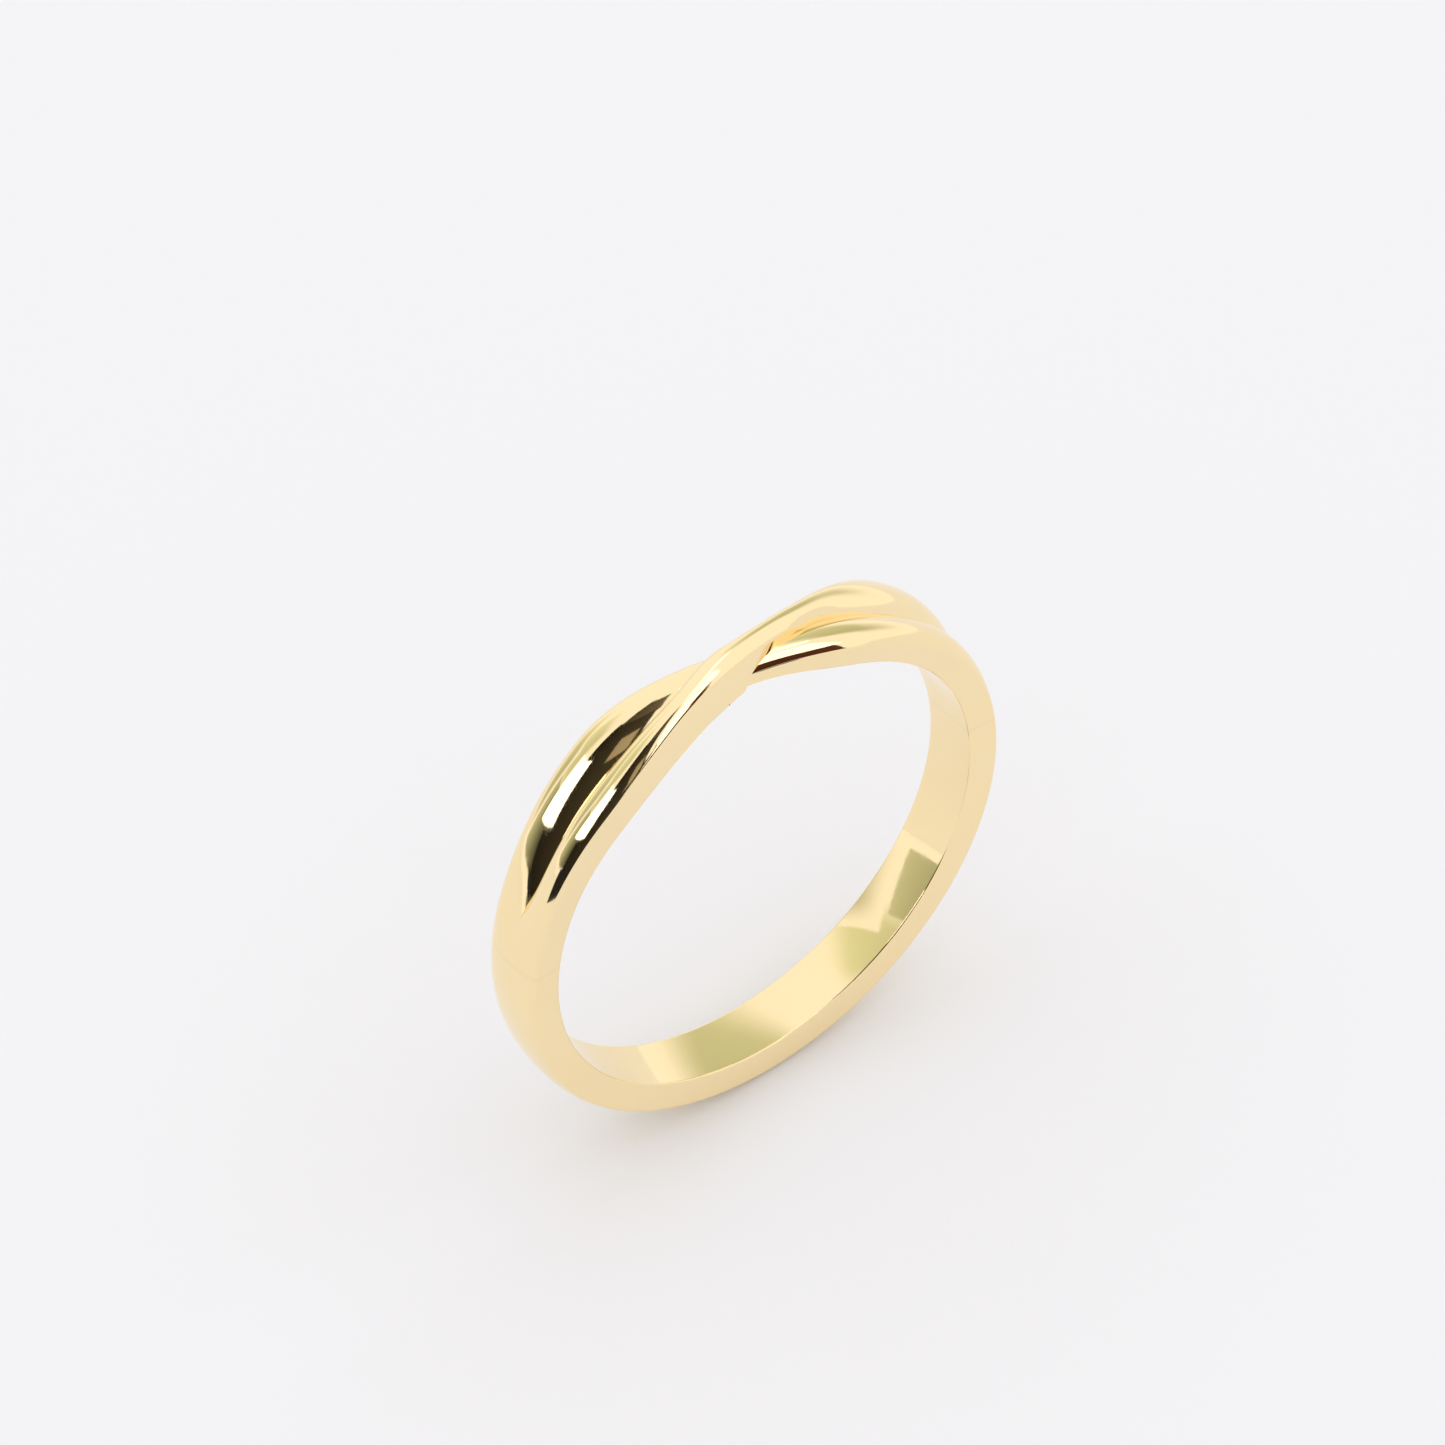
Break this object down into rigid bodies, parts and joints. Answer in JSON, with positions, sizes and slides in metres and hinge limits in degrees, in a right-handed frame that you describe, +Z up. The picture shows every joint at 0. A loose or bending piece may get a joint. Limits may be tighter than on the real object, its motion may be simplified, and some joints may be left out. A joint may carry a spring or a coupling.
{
  "type": "crossover wedding band",
  "caption": "Polished yellow-gold finger ring: two half-round strands cross on top and join a plain rounded back shank.",
  "frame": {"origin": "centre of the finger hole", "axes": "+Y along the finger hole towards the band's back edge, +Z up through the strands' crossing, +X to the right seen from the front"},
  "size_m": [0.0196, 0.0031, 0.0201],
  "materials": {
    "gold": "mirror-polished 18 karat yellow gold",
    "solder": "polished gold solder"
  },
  "bodies": {
    "root": {"over_strand": "gold", "under_strand": "gold", "back_shank": "gold", "left_solder_seam": "solder", "right_solder_seam": "solder"}
  },
  "joints": []
}
